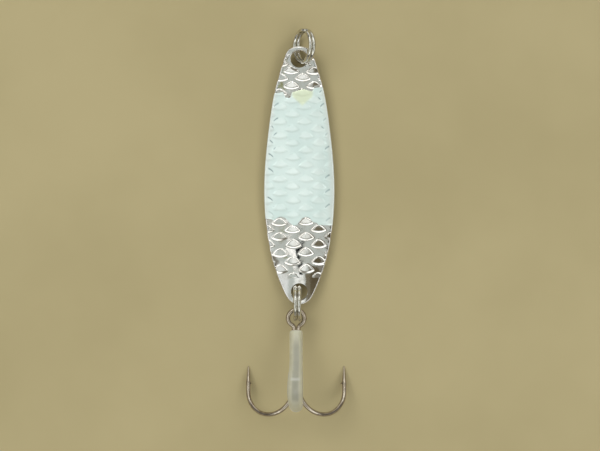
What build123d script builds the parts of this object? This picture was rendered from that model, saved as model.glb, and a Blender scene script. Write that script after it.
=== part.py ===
"""Spoon lure: a belly-down spoon blank with a patch of pearl tape on its face, a split ring for the line,
a split ring for the hook, and a brazed treble hook whose third point wears a soft tube.

Millimetres. The lure lies face up on the plane z = 0. +X is to the right, +Y runs towards the line ring and
+Z is up. The origin is under the middle of the whole lure: the treble's own mid-plane is x = 0, and the
length from the line ring's crown to the treble's bends is centred on y = 0.
"""

import os
from math import cos, radians, sin, sqrt

from build123d import *

# Spoon blank
BLANK_LENGTH = 50.8
BLANK_WIDTH = 14.0
BLANK_THICKNESS = 2.1  # on the centreline, at the belly
BELLY_RISE = 1.5  # how far the underside of each end stands above the belly
FACE_RISE = 0.65  # how far the front face of each end stands above its middle
FACE_CROWN = 0.53  # fall of the front face from its centreline to its edge
EDGE_ROUND = 0.4
HOLE_BREAK = 0.12  # chamfer on the rims of both holes
LINE_HOLE_DIA = 3.4
LINE_BRIDGE = 0.8  # metal between the line hole and the end of the blank
HOOK_HOLE_DIA = 3.2
HOOK_BRIDGE = 1.0
BLANK_OFFSET = 0.6  # the blank's centreline lies this far to the right of the treble's mid-plane
# The outline, as shares of the half length and the half width, from the line end to the hook end.
BLANK_STATIONS = (
    (0.975, 0.300),
    (0.890, 0.457),
    (0.690, 0.671),
    (0.390, 0.857),
    (-0.090, 1.000),
    (-0.390, 0.947),
    (-0.690, 0.737),
    (-0.890, 0.457),
    (-0.978, 0.240),
)

# Pearl tape on the front face, measured from the middle of the blank
TAPE_THICKNESS = 0.12
TAPE_TOP = 17.4
TAPE_BOTTOM = -9.8
TAPE_INSET = 0.1  # bare margin between the tape and the outline

# Split rings: two turns of round wire with one crossover
RING_OD = 7.0
RING_WIRE = 0.75
RING_TURN_GAP = 0.03  # air between the two turns
RING_CROSSOVER = 36.0  # degrees that the wire takes to change turn
RING_END_GAP = 5.0  # degrees between each wire end and the crossover
FLOOR_CLEARANCE = 0.03  # air under each ring where it stands on the surface

LINE_RING_LEAN = 60.0  # degrees from lying flat, right side up
LINE_RING_PAST = 0.24  # its wire passes the hole this far beyond the hole's middle, away from the bridge
LINE_RING_SIDE = 0.15  # and this far to the right of the blank's centreline
LINE_RING_CROSSOVER_AT = 60.0  # where the crossover begins, in degrees round the ring

HOOK_RING_SIDE = 0.2  # the hook ring's plane lies this far to the right of the treble's mid-plane
HOOK_RING_PAST = 0.38  # its wire passes the hole this far beyond the hole's middle, away from the bridge
HOOK_RING_CROSSOVER_AT = 235.0

# Treble hook
HOOK_WIRE = 0.87
LEG_GAP = 0.03  # braze gap between neighbouring legs
EYE_BORE = 2.4
NECK_RADIUS = 0.8  # concave bend where each leg turns into the eye
EYE_SLACK = 0.05  # the eye's centre lies this far short of the hook ring's wire
TIP_HEIGHT = 0.15  # from the surface to the axis of each lower point
SHANK_RISE = 17.0  # degrees that the shank climbs from the eye to the bends
SHANK_LENGTH = 13.5  # from the eye's centre to the level of the bend centres
BEND_RADIUS = 5.2
SPEAR_LENGTH = 5.0  # from the bend to the tip of the point
POINT_LENGTH = 3.2
POINT_TIP_DIA = 0.14
BARB_SETBACK = 3.7  # from the tip of the point to the tip of the barb
BARB_LENGTH = 1.2
BARB_LIFT = 0.40  # how far the barb's tip stands off the wire
BARB_WIDTH = 0.44
SINGLE_LEG_START = 4.2  # from the eye's centre to the upper end of the third leg
BRAZE_START = 4.6
BRAZE_END = 12.6
BRAZE_BEAD = 0.26  # radius of each bead of filler
BEAD_STAND_OFF = 1.55  # where each bead lies, from the shank's middle (0) past the midpoint of two legs (1)

# Soft tube over the third point
GUARD_WALL = 0.3
GUARD_BARB_GAP = 0.12  # between the bore and the tip of the barb
GUARD_PAST_TIP = 3.0
GUARD_WRAP = 138.0  # degrees of the bend that the tube follows

# Tools that trim the blank
TRIM = 12.0  # half size, beyond every edge of the blank
TRIM_ARC = 20.0  # degrees of the face's rocker that they cover


def arc_radius(half_span, height):
    """Radius of the arc that climbs by height over half_span."""
    return (half_span**2 + height**2) / (2 * height)


BELLY_RADIUS = arc_radius(BLANK_LENGTH / 2, BELLY_RISE)
FACE_RADIUS = arc_radius(BLANK_LENGTH / 2, FACE_RISE)
CROWN_RADIUS = arc_radius(BLANK_WIDTH / 2, FACE_CROWN)


def middle_height(along):
    """Height of the middle of the blank's thickness, on the centreline, at a distance from its middle."""
    face = BLANK_THICKNESS + FACE_RADIUS - sqrt(FACE_RADIUS**2 - along**2)
    belly = BELLY_RADIUS - sqrt(BELLY_RADIUS**2 - along**2)
    return (face + belly) / 2


# Places that follow from the sizes above, along the blank from its middle
LINE_HOLE_AT = BLANK_LENGTH / 2 - LINE_BRIDGE - LINE_HOLE_DIA / 2
HOOK_HOLE_AT = BLANK_LENGTH / 2 - HOOK_BRIDGE - HOOK_HOLE_DIA / 2

RING_RADIUS = (RING_OD - RING_WIRE) / 2
RING_PITCH = RING_WIRE + RING_TURN_GAP
lean_sin, lean_cos = sin(radians(LINE_RING_LEAN)), cos(radians(LINE_RING_LEAN))
LINE_RING_HEIGHT = FLOOR_CLEARANCE + RING_RADIUS * lean_sin + RING_PITCH / 2 * lean_cos + RING_WIRE / 2
line_ring_over = LINE_RING_HEIGHT - middle_height(LINE_HOLE_AT)
LINE_RING_AT = LINE_HOLE_AT - LINE_RING_PAST + sqrt(RING_RADIUS**2 - (line_ring_over / lean_sin) ** 2)
HOOK_RING_HEIGHT = FLOOR_CLEARANCE + RING_OD / 2
hook_ring_over = HOOK_RING_HEIGHT - middle_height(HOOK_HOLE_AT)
HOOK_RING_AT = HOOK_HOLE_AT - HOOK_RING_PAST + sqrt(RING_RADIUS**2 - hook_ring_over**2)

# The treble: its eye hangs on the hook ring, and its two lower points rest on the surface
TINE_ANGLE = 60.0  # the two lower tines leave the shank this many degrees from straight down
GUARD_BORE = HOOK_WIRE + 2 * (BARB_LIFT + GUARD_BARB_GAP)
LEG_SIDE = (HOOK_WIRE + LEG_GAP) / 2
EYE_RADIUS = (EYE_BORE + HOOK_WIRE) / 2
THIRD_LEG_LIFT = sqrt((HOOK_WIRE + LEG_GAP) ** 2 - LEG_SIDE**2)
rise, run = sin(radians(SHANK_RISE)), cos(radians(SHANK_RISE))
tine_drop = cos(radians(TINE_ANGLE))
EYE_HEIGHT = 2 * BEND_RADIUS * tine_drop * run - (SHANK_LENGTH - SPEAR_LENGTH) * rise + TIP_HEIGHT
EYE_AT = HOOK_RING_AT + sqrt(RING_RADIUS**2 - (HOOK_RING_HEIGHT - EYE_HEIGHT) ** 2) - EYE_SLACK
bend_reach = (
    run * SHANK_LENGTH
    + rise * tine_drop * BEND_RADIUS
    + BEND_RADIUS * sqrt(run**2 + (rise * tine_drop) ** 2)
    + HOOK_WIRE / 2
)

# The whole lure, centred on y = 0
BLANK_X = BLANK_OFFSET
BLANK_Y = (EYE_AT + bend_reach - LINE_RING_AT - RING_OD / 2) / 2
EYE_Y = BLANK_Y - EYE_AT


def outline(inset=0):
    """The blank's outline as a face, centred on the middle of the blank, drawn in by inset."""
    half_length, half_width = BLANK_LENGTH / 2 - inset, BLANK_WIDTH / 2 - inset
    right = [(half_width * w, half_length * y) for y, w in BLANK_STATIONS]
    left = [(-x, y) for x, y in reversed(right)]
    with BuildSketch() as blank:
        with BuildLine():
            Spline((0, half_length), *right, (0, -half_length), *left, periodic=True)
        make_face()
    return blank.sketch


def arc_fall(side):
    """Fall of the crowned face at a distance to the side of its centreline."""
    return CROWN_RADIUS - sqrt(CROWN_RADIUS**2 - side**2)


def sky_above_face(lift):
    """Doubly curved solid over the front face, its underside lift above the face."""
    axis_z = BLANK_THICKNESS + FACE_RADIUS
    centre = Plane((BLANK_X, BLANK_Y, axis_z), x_dir=(1, 0, 0), z_dir=(0, -1, 0))
    start = centre.rotated((-TRIM_ARC / 2, 0, 0))
    near, far = FACE_RADIUS - lift, FACE_RADIUS - lift + arc_fall(TRIM)
    with BuildPart() as sky:
        with BuildSketch(start):
            with BuildLine():
                ThreePointArc((-TRIM, -far), (0, -near), (TRIM, -far))
                Polyline((TRIM, -far), (TRIM, TRIM - near), (-TRIM, TRIM - near), (-TRIM, -far))
            make_face()
        revolve(axis=Axis((BLANK_X, BLANK_Y, axis_z), (1, 0, 0)), revolution_arc=TRIM_ARC)
    return sky.part


def split_ring(crossover_at):
    """Split ring about the z axis: lower turn, crossover, upper turn."""
    low, high = -RING_PITCH / 2, RING_PITCH / 2
    over, after = crossover_at, crossover_at + RING_CROSSOVER
    turn = 360 - RING_CROSSOVER - RING_END_GAP

    def place(angle, height):
        return RING_RADIUS * cos(radians(angle)), RING_RADIUS * sin(radians(angle)), height

    def heading(angle):
        return -sin(radians(angle)), cos(radians(angle)), 0

    with BuildPart() as ring:
        with BuildLine() as wire:
            ThreePointArc(place(over - turn, low), place(over - turn / 2, low), place(over, low))
            Spline(
                place(over, low),
                place((over + after) / 2, 0),
                place(after, high),
                tangents=(heading(over), heading(after)),
            )
            ThreePointArc(place(after, high), place(after + turn / 2, high), place(after + turn, high))
        with BuildSketch(Plane(place(over - turn, low), z_dir=heading(over - turn))):
            Circle(RING_WIRE / 2)
        sweep(path=wire.line)
    return ring.part


def tine_plane(angle, leg_x, leg_z):
    """Plane of one tine: x leads out from the shank, y leads back to the eye, the leg's axis is x = 0.

    The angle is measured about the shank from the treble's right-hand side, towards its front.
    """
    leg = TREBLE.from_local_coords((leg_x, 0, leg_z))
    out = TREBLE.x_dir * cos(radians(angle)) + TREBLE.z_dir * sin(radians(angle))
    return Plane(leg, x_dir=out, z_dir=out.cross(TREBLE.y_dir))


def tine(plane, leg_start):
    """Leg, round bend and spear with its point and barb, in the plane of one tine."""
    spear_x = 2 * BEND_RADIUS
    spear_end = SPEAR_LENGTH - POINT_LENGTH - SHANK_LENGTH
    tip_y = SPEAR_LENGTH - SHANK_LENGTH
    with BuildPart() as hook:
        with BuildLine(plane) as path:
            Line((0, -leg_start), (0, -SHANK_LENGTH))
            ThreePointArc(
                (0, -SHANK_LENGTH), (BEND_RADIUS, -SHANK_LENGTH - BEND_RADIUS), (spear_x, -SHANK_LENGTH)
            )
            Line((spear_x, -SHANK_LENGTH), (spear_x, spear_end))
        with BuildSketch(Plane(path.line @ 0, z_dir=path.line % 0)):
            Circle(HOOK_WIRE / 2)
        sweep(path=path.line)
        with BuildSketch(plane):
            with BuildLine():
                Polyline(
                    (spear_x, spear_end),
                    (spear_x + HOOK_WIRE / 2, spear_end),
                    (spear_x + POINT_TIP_DIA / 2, tip_y),
                    (spear_x, tip_y),
                    close=True,
                )
            make_face()
        axis_point = plane.from_local_coords((spear_x, 0, 0))
        revolve(axis=Axis(axis_point, plane.y_dir))
        barb_y = tip_y - BARB_SETBACK
        with BuildSketch(plane):
            with BuildLine():
                Polyline(
                    (spear_x, barb_y + BARB_LENGTH),
                    (spear_x - HOOK_WIRE / 2 - BARB_LIFT, barb_y),
                    (spear_x, barb_y + BARB_LENGTH / 3),
                    close=True,
                )
            make_face()
        extrude(amount=BARB_WIDTH / 2, both=True)
    return hook.part


TREBLE = Plane(
    (0, EYE_Y, EYE_HEIGHT),
    x_dir=(1, 0, 0),
    z_dir=(0, sin(radians(SHANK_RISE)), cos(radians(SHANK_RISE))),
)
LEFT_TINE = tine_plane(180 + 90 - TINE_ANGLE, -LEG_SIDE, 0)
RIGHT_TINE = tine_plane(TINE_ANGLE - 90, LEG_SIDE, 0)
THIRD_TINE = tine_plane(90, 0, THIRD_LEG_LIFT)

LINE_RING = Plane(
    (
        BLANK_X + LINE_RING_SIDE + line_ring_over * lean_cos / lean_sin,
        BLANK_Y + LINE_RING_AT,
        LINE_RING_HEIGHT,
    ),
    x_dir=(lean_cos, 0, lean_sin),
    z_dir=(-lean_sin, 0, lean_cos),
)
HOOK_RING = Plane(
    (HOOK_RING_SIDE, BLANK_Y - HOOK_RING_AT, HOOK_RING_HEIGHT),
    x_dir=(0, 1, 0),
    z_dir=(1, 0, 0),
)

with BuildPart() as spoon_blank:
    with BuildSketch(Plane((BLANK_X, BLANK_Y, 0))):
        add(outline())
    extrude(amount=BLANK_THICKNESS + FACE_RISE + BELLY_RISE)
    with Locations((BLANK_X, BLANK_Y, BELLY_RADIUS)):
        Cylinder(BELLY_RADIUS, 2 * TRIM, rotation=(0, 90, 0), mode=Mode.INTERSECT)
    add(sky_above_face(0), mode=Mode.SUBTRACT)
    fillet(spoon_blank.edges().filter_by(Axis.Z, reverse=True), EDGE_ROUND)
    for hole_y, diameter in (
        (BLANK_Y + LINE_HOLE_AT, LINE_HOLE_DIA),
        (BLANK_Y - HOOK_HOLE_AT, HOOK_HOLE_DIA),
    ):
        before = spoon_blank.edges()
        with Locations((BLANK_X, hole_y, BLANK_THICKNESS)):
            Hole(diameter / 2)
        chamfer(spoon_blank.edges() - before, HOLE_BREAK)

with BuildPart() as glow_tape:
    with BuildSketch(Plane((BLANK_X, BLANK_Y, BLANK_THICKNESS / 2))):
        add(outline(TAPE_INSET))
        with Locations((0, (TAPE_TOP + TAPE_BOTTOM) / 2)):
            Rectangle(BLANK_WIDTH, TAPE_TOP - TAPE_BOTTOM, mode=Mode.INTERSECT)
    extrude(amount=BLANK_THICKNESS)
    add(sky_above_face(TAPE_THICKNESS), mode=Mode.SUBTRACT)
    add(spoon_blank.part, mode=Mode.SUBTRACT)

with BuildPart() as line_ring:
    with Locations(LINE_RING.location):
        add(split_ring(LINE_RING_CROSSOVER_AT))

with BuildPart() as hook_ring:
    with Locations(HOOK_RING.location):
        add(split_ring(HOOK_RING_CROSSOVER_AT))

with BuildPart() as double_hook:
    neck_y = -sqrt((EYE_RADIUS + NECK_RADIUS) ** 2 - (LEG_SIDE + NECK_RADIUS) ** 2)
    to_circle = EYE_RADIUS / (EYE_RADIUS + NECK_RADIUS)
    joins_circle = ((LEG_SIDE + NECK_RADIUS) * to_circle, neck_y * to_circle)
    with BuildLine(TREBLE) as eye_wire:
        Line((-LEG_SIDE, -SINGLE_LEG_START), (-LEG_SIDE, neck_y))
        RadiusArc((-LEG_SIDE, neck_y), (-joins_circle[0], joins_circle[1]), -NECK_RADIUS)
        ThreePointArc((-joins_circle[0], joins_circle[1]), (0, EYE_RADIUS), joins_circle)
        RadiusArc(joins_circle, (LEG_SIDE, neck_y), -NECK_RADIUS)
        Line((LEG_SIDE, neck_y), (LEG_SIDE, -SINGLE_LEG_START))
    with BuildSketch(Plane(eye_wire.line @ 0, z_dir=eye_wire.line % 0)):
        Circle(HOOK_WIRE / 2)
    sweep(path=eye_wire.line)
    add(tine(LEFT_TINE, SINGLE_LEG_START))
    add(tine(RIGHT_TINE, SINGLE_LEG_START))

with BuildPart() as single_hook:
    add(tine(THIRD_TINE, SINGLE_LEG_START))

with BuildPart() as braze_seam:
    legs = ((-LEG_SIDE, 0), (LEG_SIDE, 0), (0, THIRD_LEG_LIFT))
    centre = (0, THIRD_LEG_LIFT / 3)
    section = Plane(
        TREBLE.from_local_coords((0, -BRAZE_START, 0)), x_dir=(1, 0, 0), z_dir=-TREBLE.y_dir
    )
    with BuildSketch(section):
        for first, second in ((0, 1), (1, 2), (2, 0)):
            middle = [(a + b) / 2 for a, b in zip(legs[first], legs[second])]
            away = [BEAD_STAND_OFF * (m - c) + c for m, c in zip(middle, centre)]
            with Locations(tuple(away)):
                Circle(BRAZE_BEAD)
        for x, z in legs:
            with Locations((x, z)):
                Circle(HOOK_WIRE / 2, mode=Mode.SUBTRACT)
    extrude(amount=BRAZE_END - BRAZE_START)

with BuildPart() as hook_guard:
    spear_x = 2 * BEND_RADIUS
    wrap_end = radians(GUARD_WRAP)
    lower_end = (BEND_RADIUS * (1 + cos(wrap_end)), -SHANK_LENGTH - BEND_RADIUS * sin(wrap_end))
    halfway = (BEND_RADIUS * (1 + cos(wrap_end / 2)), -SHANK_LENGTH - BEND_RADIUS * sin(wrap_end / 2))
    with BuildLine(THIRD_TINE) as tube_line:
        Line((spear_x, SPEAR_LENGTH + GUARD_PAST_TIP - SHANK_LENGTH), (spear_x, -SHANK_LENGTH))
        ThreePointArc((spear_x, -SHANK_LENGTH), halfway, lower_end)
    with BuildSketch(Plane(tube_line.line @ 0, z_dir=tube_line.line % 0)):
        Circle(GUARD_BORE / 2 + GUARD_WALL)
        Circle(GUARD_BORE / 2, mode=Mode.SUBTRACT)
    sweep(path=tube_line.line)

os.makedirs("parts", exist_ok=True)
SUB_PARTS = {
    "spoon_blank": spoon_blank,
    "glow_tape": glow_tape,
    "line_ring": line_ring,
    "hook_ring": hook_ring,
    "double_hook": double_hook,
    "single_hook": single_hook,
    "braze_seam": braze_seam,
    "hook_guard": hook_guard,
}
for name, sub_part in SUB_PARTS.items():
    sub_part.part.label = name
    export_step(sub_part.part, f"parts/{name}.step")
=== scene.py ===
"""Looks of the spoon lure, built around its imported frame. Metres; sizes below are in millimetres."""

from math import cos, pi, radians, sin, tan

import bpy
import numpy as np
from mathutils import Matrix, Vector


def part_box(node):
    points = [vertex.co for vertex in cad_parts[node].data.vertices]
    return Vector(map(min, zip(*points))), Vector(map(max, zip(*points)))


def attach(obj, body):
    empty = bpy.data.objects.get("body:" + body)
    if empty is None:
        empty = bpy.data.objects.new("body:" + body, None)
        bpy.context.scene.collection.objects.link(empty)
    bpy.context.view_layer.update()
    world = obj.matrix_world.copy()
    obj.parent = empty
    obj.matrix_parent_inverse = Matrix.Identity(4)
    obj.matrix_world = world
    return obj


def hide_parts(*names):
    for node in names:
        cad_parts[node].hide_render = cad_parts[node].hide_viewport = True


MM = 0.001
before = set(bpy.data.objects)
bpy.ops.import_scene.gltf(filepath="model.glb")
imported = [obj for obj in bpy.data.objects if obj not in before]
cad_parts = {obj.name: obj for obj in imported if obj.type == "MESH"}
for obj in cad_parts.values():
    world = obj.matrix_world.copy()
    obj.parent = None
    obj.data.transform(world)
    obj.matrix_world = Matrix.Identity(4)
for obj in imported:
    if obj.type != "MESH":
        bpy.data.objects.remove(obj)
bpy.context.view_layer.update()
bpy.context.scene.view_settings.view_transform = "Standard"

# ------------------------------------------------------------------ sizes
BLANK_THICKNESS = 2.1
BELLY_RISE, FACE_RISE = 1.5, 0.65  # how far each side curves up at the blank's ends
FACE_CROWN = 0.53  # how far the face falls from its middle to its sides
RIM_ROUND = 0.3
LINE_HOLE_DIA, LINE_BRIDGE = 3.4, 0.8  # a bridge is the metal between a hole and its end
HOOK_HOLE_DIA, HOOK_BRIDGE = 3.2, 1.0
# The outline, as shares of the half length and the half width, from the line end to the hook end.
BLANK_STATIONS = (
    (0.975, 0.300),
    (0.890, 0.457),
    (0.690, 0.671),
    (0.390, 0.857),
    (-0.090, 1.000),
    (-0.390, 0.947),
    (-0.690, 0.737),
    (-0.890, 0.457),
    (-0.978, 0.240),
)
TAPE_THICKNESS, TAPE_BEDDED = 0.12, 0.015  # the film stands on the face, bedded in a little
TAPE_INSET = 0.1
TAPE_FROM, TAPE_LENGTH = -9.8, 27.2
# The tape's hand-cut ends, the lower one round two bare scales: across the blank, then along it.
TAPE_BOTTOM = (
    (-6.9, -8.5), (-5.4, -8.6), (-5.0, -8.9), (-4.4, -8.35), (-3.6, -8.1), (-2.8, -8.35),
    (-1.9, -9.3), (-1.3, -9.85), (-0.5, -9.8), (0.1, -9.0), (0.6, -8.4), (1.3, -8.15),
    (2.0, -8.35), (2.7, -9.2), (3.4, -9.3), (3.8, -9.75), (6.9, -9.85),
)
TAPE_TOP = (
    (-5.1, 16.1), (-3.2, 16.4), (-2.7, 15.3), (-1.8, 15.25), (-1.4, 16.4),
    (0.9, 17.0), (2.5, 16.5), (2.9, 17.2), (4.6, 17.4),
)

# How steeply the face climbs towards the hook end, over its plain rocker: place along, slope.
NOSE_SLOPES = (
    (0.0, 0.0), (-5.0, -0.012), (-10.0, -0.020), (-13.0, -0.012), (-16.0, 0.005), (-20.0, 0.03),
    (-25.0, 0.055), (-26.0, 0.06),
)

TUBE_RADIUS, TUBE_BORE_RADIUS = 1.255, 0.955
TUBE_BEND, TUBE_STRAIGHT, TUBE_WRAP = 5.2, 8.0, 138.0  # radius, length, degrees
SHANK_CLIMB = radians(17)

blank_low, blank_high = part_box("spoon_blank")
MIDDLE = (blank_low + blank_high) / 2 / MM
HALF_LENGTH = (blank_high.y - blank_low.y) / 2 / MM
HALF_WIDTH = (blank_high.x - blank_low.x) / 2 / MM
LINE_HOLE_AT = HALF_LENGTH - LINE_BRIDGE - LINE_HOLE_DIA / 2
HOOK_HOLE_AT = -HALF_LENGTH + HOOK_BRIDGE + HOOK_HOLE_DIA / 2


# ------------------------------------------------------------------ node helpers
def put(tree, kind, values=(), out=0, **settings):
    """Adds a node. Each value is a number, a tuple or another node's output. Returns one output."""
    node = tree.nodes.new(kind)
    for name, value in settings.items():
        setattr(node, name, value)
    pairs = values.items() if isinstance(values, dict) else enumerate(values)
    for key, value in pairs:
        if isinstance(value, bpy.types.NodeSocket):
            tree.links.new(value, node.inputs[key])
        elif value is not None:
            node.inputs[key].default_value = value
    return node.outputs[out]


def calc(tree, operation, *values):
    return put(tree, "ShaderNodeMath", values, operation=operation)


def painted(tree, name):
    """A value that the piece carries on its points."""
    return put(tree, "ShaderNodeAttribute", out="Fac", attribute_name=name)


def ease(tree, value, start, end, low=0.0, high=1.0):
    """Climbs smoothly from low at start to high at end, and is level outside them."""
    return put(
        tree, "ShaderNodeMapRange", (value, start, end, low, high), interpolation_type="SMOOTHSTEP"
    )


def finish_of(name, colour, metallic, roughness, **sockets):
    """A material with its shader, and the tree to add to."""
    material = bpy.data.materials.new(name)
    material.use_nodes = True
    tree = material.node_tree
    shader = tree.nodes["Principled BSDF"]
    shader.inputs["Base Color"].default_value = (*colour, 1)
    shader.inputs["Metallic"].default_value = metallic
    shader.inputs["Roughness"].default_value = roughness
    for key, value in sockets.items():
        shader.inputs[key.replace("_", " ")].default_value = value
    return material, tree, shader


def noise(tree, scale, detail=3.0, roughness=0.5, stretch=(1, 1, 1), seed=0.0):
    """Noise on object coordinates, with scale in features per millimetre."""
    where = put(tree, "ShaderNodeTexCoord", out="Object")
    k = [scale * s / MM for s in stretch]
    where = put(tree, "ShaderNodeMapping", (where, (seed, seed, seed), None, tuple(k)))
    return put(
        tree,
        "ShaderNodeTexNoise",
        {"Vector": where, "Scale": 1.0, "Detail": detail, "Roughness": roughness},
    )


def blend_colour(tree, factor, first, second):
    """The first colour where factor is 0, the second where it is 1."""
    return put(
        tree, "ShaderNodeMix", {0: factor, 6: first, 7: second}, out=2, data_type="RGBA"
    )


def bump(tree, shader, height, distance, strength=1.0):
    """Fine relief, with its distance in millimetres."""
    normal = put(
        tree, "ShaderNodeBump", {"Strength": strength, "Distance": distance * MM, "Height": height}
    )
    tree.links.new(normal, shader.inputs["Normal"])


# ------------------------------------------------------------------ materials
def metal(name, colour, tarnish, roughness, scale=0.6, rub=0.06, ripple=0.004):
    """Bright metal: cloudy tarnish, fine rubbed scratches, and a slightly uneven gloss."""
    material, tree, shader = finish_of(name, colour, 1.0, roughness)
    cloud = ease(tree, noise(tree, scale, 5.0, 0.6), 0.42, 0.68)
    tree.links.new(
        blend_colour(tree, cloud, (*colour, 1), (*tarnish, 1)), shader.inputs["Base Color"]
    )
    fine = noise(tree, scale * 6, 4.0, 0.7, (1, 0.25, 1), 3.0)
    gloss = ease(tree, fine, 0.3, 0.75, roughness - rub * 0.5, roughness + rub)
    tree.links.new(gloss, shader.inputs["Roughness"])
    bump(tree, shader, noise(tree, scale * 2.2, 3.0, 0.5, seed=7.0), ripple, 0.6)
    return material


plated = metal("plated_blank", (0.84, 0.82, 0.80), (0.74, 0.70, 0.66), 0.055, 0.5, 0.05, 0.012)
nickel = metal("ring_nickel", (0.74, 0.73, 0.68), (0.55, 0.53, 0.46), 0.10, 0.9)
hook_metal = metal(
    "hook_bronzed_nickel", (0.52, 0.455, 0.375), (0.37, 0.305, 0.235), 0.18, 0.8, 0.08
)
braze = metal("braze_filler", (0.56, 0.47, 0.35), (0.38, 0.31, 0.22), 0.32, 1.4, 0.1, 0.03)


def pearl_film():
    """Pale blue-green pearl film: painted light on the crests, warmer and with painted shade in dark
    creases along its sides, and yellower where a patch of it near the line end is half clear."""
    material, tree, shader = finish_of(
        "pearl_film", (0.78, 0.90, 0.87), 0.3, 0.22, Coat_Weight=0.4, Coat_Roughness=0.15,
        Sheen_Weight=0.25, Sheen_Roughness=0.4, Specular_IOR_Level=0.5,
    )
    shader.inputs["Sheen Tint"].default_value = (0.75, 1.0, 0.95, 1)
    side = painted(tree, "side")
    cloud = ease(tree, noise(tree, 0.28, 3.0, 0.5, (1, 0.6, 1)), 0.35, 0.65)
    # Painted light: the film is lightened where the scales beneath lift it highest, over a random
    # cloudy tone.
    crest_light = calc(tree, "MULTIPLY", ease(tree, painted(tree, "crest"), 0.1, 0.9), 0.5)
    pale = calc(tree, "MULTIPLY_ADD", cloud, 0.5, crest_light)
    cool = blend_colour(tree, pale, (0.73, 0.87, 0.86, 1), (0.86, 0.97, 0.96, 1))
    warm = blend_colour(tree, ease(tree, side, 0.80, 1.0), cool, (0.75, 0.82, 0.80, 1))
    # Painted shade: dark creases near the film's sides, over the scales' upper edges.
    by_sides = calc(tree, "MULTIPLY", ease(tree, side, 0.70, 0.76), ease(tree, side, 0.95, 0.90))
    crease_shade_share = calc(tree, "MULTIPLY", painted(tree, "crease_shade"), by_sides)
    crease_shade_share = calc(tree, "MULTIPLY", crease_shade_share, 0.8)
    with_crease_shade = blend_colour(tree, crease_shade_share, warm, (0.16, 0.24, 0.26, 1))
    colour = blend_colour(tree, painted(tree, "clear"), with_crease_shade, (0.80, 0.88, 0.68, 1))
    tree.links.new(colour, shader.inputs["Base Color"])
    haze = noise(tree, 0.9, 3.0, 0.5, seed=2.0)
    tree.links.new(ease(tree, haze, 0.3, 0.7, 0.18, 0.26), shader.inputs["Roughness"])
    bump(tree, shader, noise(tree, 0.35, 1.0, 0.5, (0.6, 1.6, 1), 5.0), 0.02, 0.4)
    return material


def frosted_tube():
    """Milky soft tubing, slightly matt. Painted shade darkens a band along its top where the wire
    inside shows through, and a painted highlight lies in a line across where it starts to bend."""
    material, tree, shader = finish_of(
        "frosted_tube", (0.88, 0.87, 0.75), 0.0, 0.08, Transmission_Weight=0.6, IOR=1.33,
        Coat_Weight=0.4, Coat_Roughness=0.04, Sheen_Weight=0.5, Sheen_Roughness=0.3,
    )
    haze = ease(tree, noise(tree, 0.7, 4.0, 0.6), 0.3, 0.7)
    milk = blend_colour(tree, haze, (0.89, 0.88, 0.75, 1), (0.83, 0.82, 0.69, 1))
    # Painted shade: a darker band along the top, where the wire inside shows through.
    wire = calc(tree, "MULTIPLY", painted(tree, "painted_wire_shade"), 0.65)
    shaded_milk = blend_colour(tree, wire, milk, (0.50, 0.50, 0.44, 1))
    # Painted highlight: a pale line across where the tube starts to bend.
    colour = blend_colour(tree, painted(tree, "painted_glint_line"), shaded_milk, (0.97, 0.97, 0.92, 1))
    tree.links.new(colour, shader.inputs["Base Color"])
    gloss = ease(tree, noise(tree, 4.0, 3.0, 0.6, seed=4.0), 0.3, 0.7, 0.05, 0.12)
    tree.links.new(gloss, shader.inputs["Roughness"])
    bump(tree, shader, noise(tree, 1.1, 2.0, 0.5, seed=1.0), 0.02, 0.25)
    return material


pearl = pearl_film()
tubing = frosted_tube()


# ------------------------------------------------------------------ mesh helpers
def new_piece(name, points, faces, material, smooth=True):
    """A piece from points in millimetres. A closed one is turned so that its faces point outwards."""
    mesh = bpy.data.meshes.new(name)
    mesh.from_pydata([tuple(p) for p in np.asarray(points) * MM], [], faces)
    mesh.validate()
    mesh.calc_loop_triangles()
    corners = np.array([[mesh.vertices[i].co for i in t.vertices] for t in mesh.loop_triangles])
    if np.einsum("ij,ij->i", corners[:, 0], np.cross(corners[:, 1], corners[:, 2])).sum() < 0:
        mesh.flip_normals()
    mesh.materials.append(material)
    mesh.polygons.foreach_set("use_smooth", [smooth] * len(mesh.polygons))
    piece = bpy.data.objects.new(name, mesh)
    bpy.context.scene.collection.objects.link(piece)
    return piece


def attribute(piece, name, values):
    """Stores a number on each point, for the piece's material or nodes to read."""
    layer = piece.data.attributes.new(name, "FLOAT", "POINT")
    layer.data.foreach_set("value", np.asarray(values, np.float32))


def bake_modifiers(piece):
    """Replaces a piece's mesh with what its modifiers make, and removes them."""
    bpy.context.view_layer.update()
    done = bpy.data.meshes.new_from_object(
        piece.evaluated_get(bpy.context.evaluated_depsgraph_get()),
        preserve_all_data_layers=True,
        depsgraph=bpy.context.evaluated_depsgraph_get(),
    )
    piece.modifiers.clear()
    old, piece.data = piece.data, done
    bpy.data.meshes.remove(old)
    done.name = piece.name
    return piece


def loops_to_faces(rows, columns, closed=True):
    """Quads between rows of points, each row a loop unless it isn't closed."""
    faces = []
    for this in range(0, (rows - 1) * columns, columns):
        after = this + columns
        for c in range(columns if closed else columns - 1):
            d = (c + 1) % columns
            faces.append((this + c, this + d, after + d, after + c))
    return faces


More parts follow.
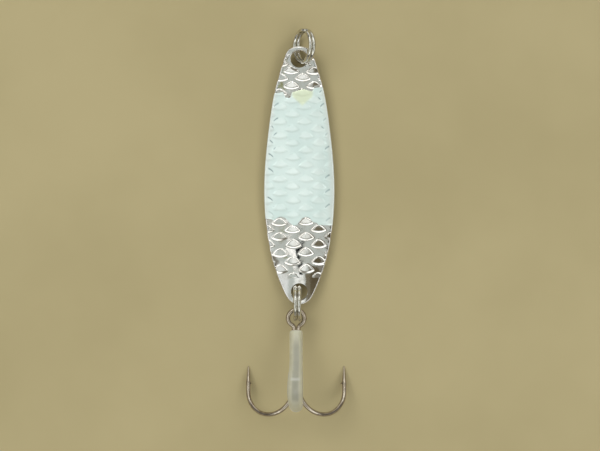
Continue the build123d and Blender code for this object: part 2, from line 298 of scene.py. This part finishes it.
# ------------------------------------------------------------------ blank's shape
def periodic_spline(points, samples):
    """A smooth closed curve through the points, sampled in even steps between each two."""
    p = np.array(points, float)
    n = len(p)
    step = np.linalg.norm(np.roll(p, -1, 0) - p, axis=1)
    matrix, right = np.zeros((n, n)), np.zeros((n, 2))
    for i in range(n):
        before, after = step[i - 1], step[i]
        matrix[i, i - 1] += after
        matrix[i, i] += 2 * (before + after)
        matrix[i, (i + 1) % n] += before
        right[i] = 3 * (
            after * (p[i] - p[i - 1]) / before + before * (p[(i + 1) % n] - p[i]) / after
        )
    slope = np.linalg.solve(matrix, right)
    t = np.linspace(0, 1, samples, endpoint=False)[:, None]
    curve = []
    for i in range(n):
        j, h = (i + 1) % n, step[i]
        curve.append(
            (2 * t**3 - 3 * t**2 + 1) * p[i]
            + (t**3 - 2 * t**2 + t) * h * slope[i]
            + (3 * t**2 - 2 * t**3) * p[j]
            + (t**3 - t**2) * h * slope[j]
        )
    return np.vstack(curve)


def arc_radius(half_span, height):
    """Radius of the arc that rises by height over half its span."""
    return (half_span**2 + height**2) / (2 * height)


right_side = [(HALF_WIDTH * w, HALF_LENGTH * y) for y, w in BLANK_STATIONS]
left_side = [(-x, y) for x, y in reversed(right_side)]
OUTLINE = periodic_spline([(0, HALF_LENGTH), *right_side, (0, -HALF_LENGTH), *left_side], 60)
right_edge = OUTLINE[: len(OUTLINE) // 2 + 1]
right_edge = right_edge[np.argsort(right_edge[:, 1])]
BELLY_RADIUS = arc_radius(HALF_LENGTH, BELLY_RISE)
FACE_RADIUS = arc_radius(HALF_LENGTH, FACE_RISE)
CROWN_RADIUS = arc_radius(HALF_WIDTH, FACE_CROWN)
NOSE_AT = np.linspace(-HALF_LENGTH, HALF_LENGTH, 2001)
nose_slope = np.interp(NOSE_AT, *zip(*reversed(NOSE_SLOPES)))
NOSE_BEND = np.cumsum(nose_slope[::-1])[::-1] * (NOSE_AT[1] - NOSE_AT[0])


def half_width_at(y):
    return np.interp(y, right_edge[:, 1], right_edge[:, 0])


def nose_bend(y):
    """The face dips a little short of the hook end, then turns up towards its tip."""
    return np.interp(y, NOSE_AT, NOSE_BEND)


def face_height(x, y):
    """Height of the front face at a place measured from the blank's middle."""
    fall = CROWN_RADIUS - np.sqrt(CROWN_RADIUS**2 - x**2)
    height = BLANK_THICKNESS + FACE_RADIUS - np.sqrt((FACE_RADIUS + fall) ** 2 - y**2)
    rounder = 0.015 * x**2 * smooth((-14.5 - y) / 4.5)  # towards the hook end
    return height - rounder + nose_bend(y)


def belly_height(y):
    return BELLY_RADIUS - np.sqrt(BELLY_RADIUS**2 - y**2)


def from_outline(x, y):
    """Distance of each point from the outline, worked out in batches to save memory."""
    a, b = OUTLINE, np.roll(OUTLINE, -1, 0)
    gaps, batch = [], 20000
    for start in range(0, len(x), batch):
        p = np.stack([x[start : start + batch], y[start : start + batch]], 1)[:, None, :]
        along = np.clip(((p - a) * (b - a)).sum(2) / ((b - a) ** 2).sum(1), 0, 1)
        gaps.append(np.linalg.norm(p - (a + along[..., None] * (b - a)), axis=2).min(1))
    return np.concatenate(gaps)


def rim_fall(gap):
    """How far the rounded rim has fallen at a distance of up to RIM_ROUND from the outline."""
    return RIM_ROUND - np.sqrt(np.maximum(RIM_ROUND**2 - (RIM_ROUND - gap) ** 2, 0))


def smooth(t):
    t = np.clip(t, 0, 1)
    return t * t * (3 - 2 * t)


def edge_line(points, x):
    """Where a cut end of the tape lies along the blank, at a place across it."""
    across, along = zip(*points)
    return np.interp(x, across, along)


def pressed(x, y):
    """How deep the scale pattern is pressed at a place: full on bare metal, softer under the film,
    and fading out round both holes, beyond them and at the hook end."""
    film_softens, film_fade, hole_fade = 0.35, 0.45, 0.9
    over = np.minimum(y - edge_line(TAPE_BOTTOM, x), edge_line(TAPE_TOP, x) - y)
    depth = 1 - film_softens * smooth((over + film_fade) / film_fade)
    for hole_at, diameter, plain in (
        (LINE_HOLE_AT, LINE_HOLE_DIA, 0.1),
        (HOOK_HOLE_AT, HOOK_HOLE_DIA, 0.9),
    ):
        depth = depth * smooth((np.hypot(x, y - hole_at) - diameter / 2 - plain) / hole_fade)
        beyond = (np.abs(y) - abs(hole_at)) * (np.sign(y) == np.sign(hole_at))
        depth = depth * (1 - smooth(beyond))
    plain_from, plain_fade = -19.1, 1.1
    return depth * (1 - smooth((plain_from - y) / plain_fade))


# ------------------------------------------------------------------ pressed scale pattern
def scale_pattern():
    """Geometry nodes that lift rows of crested scales out of a sheet, as deep as it is pressed, and
    mark each point with how high on a scale it is and where film gets painted shade in creases."""
    tree = bpy.data.node_groups.new("pressed_scales", "GeometryNodeTree")
    face = tree.interface
    face.new_socket("Geometry", in_out="INPUT", socket_type="NodeSocketGeometry")
    for name, value in (
        ("Middle Across", MIDDLE.x * MM),
        ("Middle Along", MIDDLE.y * MM),
        ("Column Spacing", 2.55),
        ("Row Period", 2.83),
        ("First Row", 7.8),
        ("Scale Width", 3.15),
        ("Scale Rise", 0.88),
        ("Scale Drop", 0.76),
        ("Crest Height", 0.19),
        ("Relief", 1.0),
        ("Unevenness", 0.02),
    ):
        socket = face.new_socket(name, in_out="INPUT", socket_type="NodeSocketFloat")
        socket.default_value = value
    face.new_socket("Seed", in_out="INPUT", socket_type="NodeSocketInt").default_value = 4
    face.new_socket("Finish", in_out="INPUT", socket_type="NodeSocketMaterial")
    face.new_socket("Geometry", in_out="OUTPUT", socket_type="NodeSocketGeometry")
    given = tree.nodes.new("NodeGroupInput").outputs

    def c(operation, *values):
        return calc(tree, operation, *values)

    place = put(tree, "GeometryNodeInputPosition")
    split = put(tree, "ShaderNodeSeparateXYZ", (place,)).node
    x = c("DIVIDE", c("SUBTRACT", split.outputs[0], given["Middle Across"]), MM)
    y = c("DIVIDE", c("SUBTRACT", split.outputs[1], given["Middle Along"]), MM)

    # The columns lie closer and further left towards the line end.
    top = ease(tree, y, 6.0, 17.0)
    spacing = c("MULTIPLY", given["Column Spacing"], c("MULTIPLY_ADD", top, -0.12, 1.0))
    column_place = c("DIVIDE", c("MULTIPLY_ADD", top, 0.45, x), spacing)

    # The rows lie further apart towards the hook end.
    beyond = c("MAXIMUM", c("SUBTRACT", -12.1, y), 0.0)
    count = c("DIVIDE", c("SUBTRACT", given["First Row"], y), given["Row Period"])
    count = c("MULTIPLY_ADD", beyond, -0.0457, count)

    half_wide = c("MULTIPLY", given["Scale Width"], 0.5)
    reach = c("MULTIPLY", c("ADD", given["Scale Rise"], 0.25), -1.0)
    height = crease_shade = 0.0
    for odd in (0, 1):  # every other column, then the columns between, half a row lower
        pair = c("MULTIPLY", c("SUBTRACT", column_place, 0.5 + odd), 0.5)
        column = c("ROUND", pair)
        across = c("MULTIPLY", c("MULTIPLY", c("SUBTRACT", pair, column), 2.0), spacing)
        shifted = c("ADD", count, odd * 0.5)
        row = c("ROUND", shifted)
        along = c("MULTIPLY", c("SUBTRACT", row, shifted), given["Row Period"])

        # Each scale differs a little in place and turn, as a worn die leaves it.
        key = put(
            tree, "ShaderNodeCombineXYZ", (c("MULTIPLY_ADD", column, 2.0, odd), row, given["Seed"])
        )
        chance = put(
            tree, "ShaderNodeTexWhiteNoise", {"Vector": key}, out="Color", noise_dimensions="3D"
        )
        chances = put(tree, "ShaderNodeSeparateXYZ", (chance,)).node.outputs
        across = c("ADD", across, c("MULTIPLY_ADD", chances[0], 0.24, -0.12))
        along = c("ADD", along, c("MULTIPLY_ADD", chances[1], 0.2, -0.1))
        turn = c("MULTIPLY_ADD", chances[2], 0.3, -0.15)

        share = c("DIVIDE", c("ABSOLUTE", across), half_wide)
        top_edge = c("MULTIPLY_ADD", c("POWER", share, 1.85), reach, given["Scale Rise"])
        low_edge = c(
            "MULTIPLY_ADD", c("MULTIPLY", share, share), 0.45,
            c("MULTIPLY", given["Scale Drop"], -1.0),
        )
        inside = c("SUBTRACT", top_edge, along)
        bevel = c("MULTIPLY", inside, 0.46)
        ramp = c("MULTIPLY_ADD", c("SUBTRACT", given["Scale Rise"], along), 0.072, 0.07)
        lower = c("MULTIPLY", c("SUBTRACT", along, low_edge), 0.40)
        scale = c("SMOOTH_MIN", c("SMOOTH_MIN", bevel, ramp, 0.015), lower, 0.015)
        scale = c("MINIMUM", scale, given["Crest Height"])
        scale = c("MULTIPLY", scale, c("MULTIPLY_ADD", across, turn, 1.0))
        height = c("MAXIMUM", scale, height)

        # A narrow band down each side of the scale's upper edge, where film gets painted shade in
        # creases.
        band = c("MULTIPLY", ease(tree, inside, -0.12, 0.04), ease(tree, inside, 0.32, 0.16))
        flank = c("MULTIPLY", ease(tree, share, 0.1, 0.25), ease(tree, share, 0.85, 0.7))
        band = c("MULTIPLY", band, flank)
        band = c("MULTIPLY", band, ease(tree, chances[0], 0.05, 0.45))
        crease_shade = c("MAXIMUM", band, crease_shade)

    # The land between the scales is left slightly pillowed.
    where = put(tree, "ShaderNodeCombineXYZ", (x, y, given["Seed"]))
    wave = put(
        tree, "ShaderNodeTexNoise",
        {"Vector": where, "Scale": 0.42, "Detail": 1.5, "Roughness": 0.5},
    )
    pillow = c("MULTIPLY", c("SUBTRACT", wave, 0.5), c("MULTIPLY", given["Unevenness"], 2.0))
    height = c("ADD", height, pillow)

    crest = c("DIVIDE", height, given["Crest Height"])
    depth = put(
        tree, "GeometryNodeInputNamedAttribute", {"Name": "pressed"}, out="Attribute",
        data_type="FLOAT",
    )
    lift = c("MULTIPLY", c("MULTIPLY", height, depth), c("MULTIPLY", given["Relief"], MM))
    offset = put(tree, "ShaderNodeCombineXYZ", (0.0, 0.0, lift))
    sheet = given["Geometry"]
    # crest is the height on a scale; the other value marks where painted shade in creases goes.
    for name, value in (("crest", crest), ("crease_shade", crease_shade)):
        sheet = put(
            tree, "GeometryNodeStoreNamedAttribute",
            {"Geometry": sheet, "Name": name, "Value": value}, data_type="FLOAT",
        )
    sheet = put(tree, "GeometryNodeSetPosition", {"Geometry": sheet, "Offset": offset})
    sheet = put(tree, "GeometryNodeRealizeInstances", {"Geometry": sheet})
    sheet = put(
        tree, "GeometryNodeSetMaterial", {"Geometry": sheet, "Material": given["Finish"]}
    )
    tree.links.new(sheet, tree.nodes.new("NodeGroupOutput").inputs[0])
    return tree


SCALES = scale_pattern()


def press_scales(piece, **values):
    """Runs the scale pattern on a piece, with any of its inputs set by name."""
    modifier = piece.modifiers.new("scales", "NODES")
    modifier.node_group = SCALES
    sockets = {s.name: s.identifier for s in SCALES.interface.items_tree if s.in_out == "INPUT"}
    for name, value in values.items():
        modifier[sockets[name.replace("_", " ")]] = value
    return bake_modifiers(piece)


# ------------------------------------------------------------------ blank
def spaced(*runs):
    """Numbers that climb in runs of (start, end, step)."""
    out = []
    for start, end, step in runs:
        n = max(1, round((end - start) / step))
        out += list(start + (end - start) * np.arange(n) / n)
    return out + [runs[-1][1]]


def build_blank():
    """The solid plate, in rows across it: front from left to right, then back from right to left.
    Rows lie closest on bare metal, where the pressed scales show most."""
    end, fine, coarse = HALF_LENGTH, 0.078, 0.26
    near_end = [0.002, 0.01, 0.03, 0.07, 0.12, 0.19, 0.28]
    middle_rows = spaced((-end + 0.4, -8.2, fine), (-8.2, 15.0, coarse), (15.0, end - 0.4, fine))
    rows = [-end + e for e in near_end] + middle_rows + [end - e for e in reversed(near_end)]
    rim_steps = np.array([0.0, 0.02, 0.08, 0.18, 0.32, 0.5, 0.72])
    front = np.linspace(-1, 1, 96)
    back = np.linspace(1, -1, 15)
    points = []
    for y in rows:
        w = half_width_at(y)
        edge = min(RIM_ROUND, w * 0.3)
        insets = rim_steps * edge / RIM_ROUND * 0.8
        inner = w - 0.9 * edge
        xs = np.concatenate([-w + insets, inner * front, (w - insets)[::-1]])
        xb = np.concatenate([w - insets, inner * back, (-w + insets)[::-1]])
        points.append(np.concatenate([
            np.stack([xs, np.full(len(xs), y), np.ones(len(xs))], 1),
            np.stack([xb, np.full(len(xb), y), np.zeros(len(xb))], 1),
        ]))
    columns = len(points[0])
    p = np.vstack(points)
    x, y, on_front = p[:, 0], p[:, 1], p[:, 2] > 0.5
    gap = np.minimum(from_outline(x, y), RIM_ROUND)
    fall = rim_fall(gap)
    z = np.where(on_front, face_height(x, y) - fall, belly_height(y) + fall)
    depth = pressed(x, y) * on_front * smooth((gap - 0.02) / 0.25)
    solid = np.stack([x + MIDDLE.x, y + MIDDLE.y, z], 1)
    faces = loops_to_faces(len(rows), columns)
    faces.append(tuple(range(columns - 1, -1, -1)))
    faces.append(tuple(range((len(rows) - 1) * columns, len(rows) * columns)))
    faces = [tuple(reversed(f)) for f in faces]
    piece = new_piece("spoon_face", solid, faces, plated)
    attribute(piece, "pressed", depth)
    press_scales(piece, Finish=plated)
    return piece


def lathe(name, profile, centre, segments=96):
    """A closed turned solid about a vertical axis, from (radius, height) pairs."""
    points = []
    for r, z in profile:
        for k in range(segments):
            a = 2 * pi * k / segments
            points.append((centre[0] + r * cos(a), centre[1] + r * sin(a), z))
    faces = loops_to_faces(len(profile), segments)
    faces.append(tuple(range(segments - 1, -1, -1)))
    faces.append(tuple(range((len(profile) - 1) * segments, len(profile) * segments)))
    return new_piece(name, points, faces, plated)


def drill(piece, cutters):
    """Cuts each cutter out of the piece, and clears the cutters away."""
    for cutter in cutters:
        cut = piece.modifiers.new("hole", "BOOLEAN")
        cut.object, cut.operation, cut.solver = cutter, "DIFFERENCE", "EXACT"
        bake_modifiers(piece)
        old = cutter.data
        bpy.data.objects.remove(cutter)
        bpy.data.meshes.remove(old)


def hole_cutter(along, diameter):
    """A drill for one hole, with both rims eased by small rounded lips."""
    r, lip, flare, proud = diameter / 2, 0.16, 0.4, 0.6
    top = float(face_height(np.array([0.0]), np.array([along]))[0])
    bottom = float(belly_height(np.array([along]))[0])
    profile = [(r + lip + flare, bottom - proud), (r + lip, bottom - 0.02)]
    for a in np.linspace(0.2, pi / 2, 5):
        profile.append((r + lip * (1 - sin(a)), bottom + lip * (1 - cos(a))))
    for a in np.linspace(0, pi / 2 - 0.2, 5):
        profile.append((r + lip * (1 - cos(a)), top - lip + lip * sin(a)))
    profile += [(r + lip, top + 0.02), (r + lip + flare, top + proud)]
    return lathe("drill", profile, (MIDDLE.x, MIDDLE.y + along))


blank = build_blank()
drill(
    blank, [hole_cutter(LINE_HOLE_AT, LINE_HOLE_DIA), hole_cutter(HOOK_HOLE_AT, HOOK_HOLE_DIA)]
)
blank.data.set_sharp_from_angle(angle=radians(50))
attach(blank, "spoon")
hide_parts("spoon_blank")


# ------------------------------------------------------------------ pearl tape
def build_tape():
    """A closed film over the face. Its width depends on its place along the blank, and where it is
    cut depends on the place across, so its grid is settled in a few passes."""
    rows, columns = 190, 90
    v = np.linspace(0, 1, rows)
    u = np.linspace(-1, 1, columns)
    vv, uu = np.meshgrid(v, u, indexing="ij")
    y = TAPE_FROM + TAPE_LENGTH * vv
    for _ in range(6):
        x = uu * (half_width_at(y) - TAPE_INSET)
        y = edge_line(TAPE_BOTTOM, x) * (1 - vv) + edge_line(TAPE_TOP, x) * vv
    x, y = x.ravel(), y.ravel()
    side = np.abs(uu).ravel()
    edge = np.minimum(1 - np.abs(uu), np.minimum(vv, 1 - vv) * 2).ravel()
    round_off = 0.05 * (1 - smooth(edge / 0.02))
    base = face_height(x, y) - rim_fall(np.minimum(from_outline(x, y), RIM_ROUND))
    from_patch = np.abs(x - 0.6)  # the half-clear patch is a wedge near the line end
    clear = smooth((y - 13.3 - 0.9 * from_patch) / 0.9) * smooth((2.4 - from_patch) / 0.7)
    top = np.stack([x, y, base + TAPE_THICKNESS - round_off], 1)
    bottom = np.stack([x, y, base - TAPE_BEDDED], 1)
    points = np.vstack([top, bottom]) + np.array([MIDDLE.x, MIDDLE.y, 0])
    faces = loops_to_faces(rows, columns, closed=False)
    n = rows * columns
    faces = [tuple(reversed(f)) for f in faces]
    under = [tuple(i + n for i in reversed(f)) for f in faces]
    ring = (
        list(range(columns))
        + [r * columns + columns - 1 for r in range(1, rows)]
        + [(rows - 1) * columns + c for c in range(columns - 2, -1, -1)]
        + [r * columns for r in range(rows - 2, 0, -1)]
    )
    walls = [(a, a + n, b + n, b) for a, b in zip(ring, ring[1:] + ring[:1])]
    piece = new_piece("pearl_tape", points, faces + under + walls, pearl)
    depth = pressed(x, y)
    attribute(piece, "pressed", np.concatenate([depth, depth]))
    attribute(piece, "side", np.concatenate([side, side]))
    attribute(piece, "clear", np.concatenate([clear, clear]))
    press_scales(piece, Finish=pearl)
    piece.data.set_sharp_from_angle(angle=radians(50))
    return piece


tape = build_tape()
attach(tape, "spoon")
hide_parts("glow_tape")


# ------------------------------------------------------------------ soft tube over the third point
def build_guard():
    """Tubing over the third point and round its bend, where it goes oval and bulges to the left."""
    tube_low, tube_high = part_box("hook_guard")
    centre_y = tube_low.y / MM + TUBE_BEND + TUBE_RADIUS
    centre = np.array([0, centre_y, tube_high.z / MM - TUBE_BEND - TUBE_RADIUS])
    across = np.array([1.0, 0, 0])
    out = np.array([0, sin(SHANK_CLIMB), cos(SHANK_CLIMB)])
    back = np.array([0, cos(SHANK_CLIMB), -sin(SHANK_CLIMB)])
    stops = [(t, 0.0) for t in np.linspace(TUBE_STRAIGHT, 0, 41)[:-1]]
    stops += [(0.0, radians(a)) for a in np.linspace(0, TUBE_WRAP, 70)]
    eased_ends = (0.09, 0.03, 0.0)  # how much thinner the wall is at its first loops
    sides = 48
    turn = np.linspace(0, 2 * pi, sides, endpoint=False)

    def section(place, radius, wider, flatter):
        """One loop. It is widest and flattest a little way round the bend."""
        run, angle = place
        radial = cos(angle) * out - sin(angle) * back
        middle = centre + TUBE_BEND * radial + run * back
        if run == 0:
            soft = smooth(1 - abs(angle - radians(38)) / radians(75))
        else:
            soft = smooth(1 - run / 2.5) * 0.24
        wide, deep, shift = 1 + wider * soft, 1 - flatter * soft, -0.2 * soft
        return [
            middle + across * (shift + radius * wide * cos(k)) + radial * (radius * deep * sin(k))
            for k in turn
        ]

    loops = []
    for places, radius, side, wider, flatter in (
        (stops, TUBE_RADIUS, -1, 0.2, 0.08),
        (stops[::-1], TUBE_BORE_RADIUS, 1, 0.15, 0.04),
    ):
        for i, place in enumerate(places):
            eased = side * eased_ends[min(i, len(places) - 1 - i, 2)]
            loops.append(section(place, radius + eased, wider, flatter))
    points = np.vstack(loops)
    faces = loops_to_faces(len(loops), sides)
    last = (len(loops) - 1) * sides
    faces += [(last + k, last + (k + 1) % sides, (k + 1) % sides, k) for k in range(sides)]
    piece = new_piece("guard_tube", points, faces, tubing)

    # Painted shade and a painted highlight on the side that faces up and out, before the tube has
    # turned down.
    outer_loops = np.tile(np.sin(turn), len(stops))
    facing = np.concatenate([outer_loops, np.zeros(len(outer_loops))])
    angle = np.repeat([a for _, a in stops + stops[::-1]], sides)
    upper = (angle < radians(75)) * 1.0
    y = points[:, 1]
    # Painted shade: where the wire inside would show through the top.
    wire_shade_mask = smooth((facing - 0.88) / 0.07) * smooth((y + 34.4) / 1.0) * smooth((-21.2 - y) / 2.5)
    # Painted highlight: a thin pale line across the top, where the tube starts to bend.
    line = smooth((facing - 0.74) / 0.1) * smooth((0.3 - abs(y + 29.7)) / 0.15)
    attribute(piece, "painted_wire_shade", wire_shade_mask * upper)
    attribute(piece, "painted_glint_line", line * upper)
    piece.data.set_sharp_from_angle(angle=radians(60))
    return piece


guard = build_guard()
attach(guard, "treble")
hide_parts("hook_guard")


# ------------------------------------------------------------------ wire pieces keep their solids
for node, material in (
    ("line_ring", nickel),
    ("hook_ring", nickel),
    ("double_hook", hook_metal),
    ("single_hook", hook_metal),
    ("braze_seam", braze),
):
    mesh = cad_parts[node].data
    mesh.materials.clear()
    mesh.materials.append(material)


# ------------------------------------------------------------------ floor, light and camera
def floor():
    """A plain pale card, a little cloudy."""
    material, tree, shader = finish_of("pale_card", (0.55, 0.50, 0.38), 0.0, 0.85)
    cloud = noise(tree, 0.02, 4.0, 0.5)
    tree.links.new(
        blend_colour(
            tree, ease(tree, cloud, 0.3, 0.7), (0.388, 0.326, 0.176, 1), (0.438, 0.370, 0.206, 1)
        ),
        shader.inputs["Base Color"],
    )
    reach, drop = 900, -0.02
    corners = [(x * reach, y * reach, drop) for x, y in ((-1, -1), (1, -1), (1, 1), (-1, 1))]
    new_piece("floor", corners, [(0, 1, 2, 3)], material, smooth=False)


floor()


def studio():
    """The room above: a grey ceiling, rings of light and dark round it, and things that the bright
    metal mirrors. Angles are in degrees from straight up."""
    world = bpy.data.worlds.new("studio")
    bpy.context.scene.world = world
    world.use_nodes = True
    tree = world.node_tree
    out = tree.nodes["Background"]
    way = put(tree, "ShaderNodeTexCoord", out="Generated")
    up = put(tree, "ShaderNodeSeparateXYZ", (way,), out=2)
    colour = (0.53, 0.575, 0.54, 1)
    for start, end, shade in (
        (17, 20, (0.24, 0.23, 0.19)),
        (33, 37, (1.52, 1.56, 1.50)),
        (52, 58, (0.08, 0.07, 0.05)),
        (65, 73, (0.36, 0.35, 0.32)),
    ):
        lower = ease(tree, up, cos(radians(end)), cos(radians(start)))
        colour = blend_colour(tree, lower, (*shade, 1), colour)
    black = (0.004, 0.004, 0.004)
    for across, along, full, faded, shade in (  # full to one radius, faded out at a wider one
        (0, 76, 16, 26, (1.0, 1.0, 0.95)),  # a bright wall beyond the line end
        (0, 27, 2, 3.5, (5.0, 5.0, 4.7)),  # a bulb
        (0, 12, 5, 9, (1.0, 1.04, 1.0)),  # a pale cloth over the lure
        (11.5, 7, 3.5, 5, (0.18, 0.16, 0.11)),  # dark things to the right
        (19, 6.5, 5.5, 6.5, (0.12, 0.10, 0.06)),
        (-22, 6, 6, 11, (0.80, 0.84, 0.82)),  # a pale thing to the left
        (-9, -2, 1.2, 2.4, (0.30, 0.32, 0.17)),
        (-5, 2.8, 1.2, 2.4, (1.25, 1.25, 1.2)),
        (-1.2, 2.9, 1.1, 1.7, black),  # small black things almost straight above
        (0.7, 3.6, 1.1, 1.7, black),
        (0.2, 5.2, 1.1, 1.7, black),
        (2.2, 4.8, 1.1, 1.7, black),
    ):
        towards = Vector((tan(radians(across)), tan(radians(along)), 1)).normalized()
        facing = put(
            tree, "ShaderNodeVectorMath", (way, tuple(towards)), out="Value",
            operation="DOT_PRODUCT",
        )
        near = ease(tree, facing, cos(radians(faded)), cos(radians(full)))
        colour = blend_colour(tree, near, colour, (*shade, 1))
    tree.links.new(colour, out.inputs["Color"])
    out.inputs["Strength"].default_value = 1.0


studio()


def lamp(name, place, power):
    """A wide soft lamp aimed at the lure. It lights it, but its own shape isn't mirrored."""
    data = bpy.data.lights.new(name, "AREA")
    data.shape, data.size, data.energy = "DISK", 0.5, power
    data.color = (1.0, 0.985, 0.95)
    light = bpy.data.objects.new(name, data)
    light.location = place
    light.visible_glossy = light.visible_transmission = False
    light.rotation_euler = (-Vector(place)).to_track_quat("-Z", "Y").to_euler()
    bpy.context.scene.collection.objects.link(light)


lamp("key", (-0.42, 0.30, 0.62), 1.7)
lamp("fill", (0.42, -0.36, 0.62), 1.0)


def camera():
    """Straight above, looking down."""
    data = bpy.data.cameras.new("camera")
    data.sensor_width, data.lens = 36, 121.9
    data.clip_start, data.clip_end = 0.01, 10
    eye = bpy.data.objects.new("camera", data)
    eye.location = (0.74 * MM, -0.675 * MM, 0.402)
    bpy.context.scene.collection.objects.link(eye)
    bpy.context.scene.camera = eye


camera()
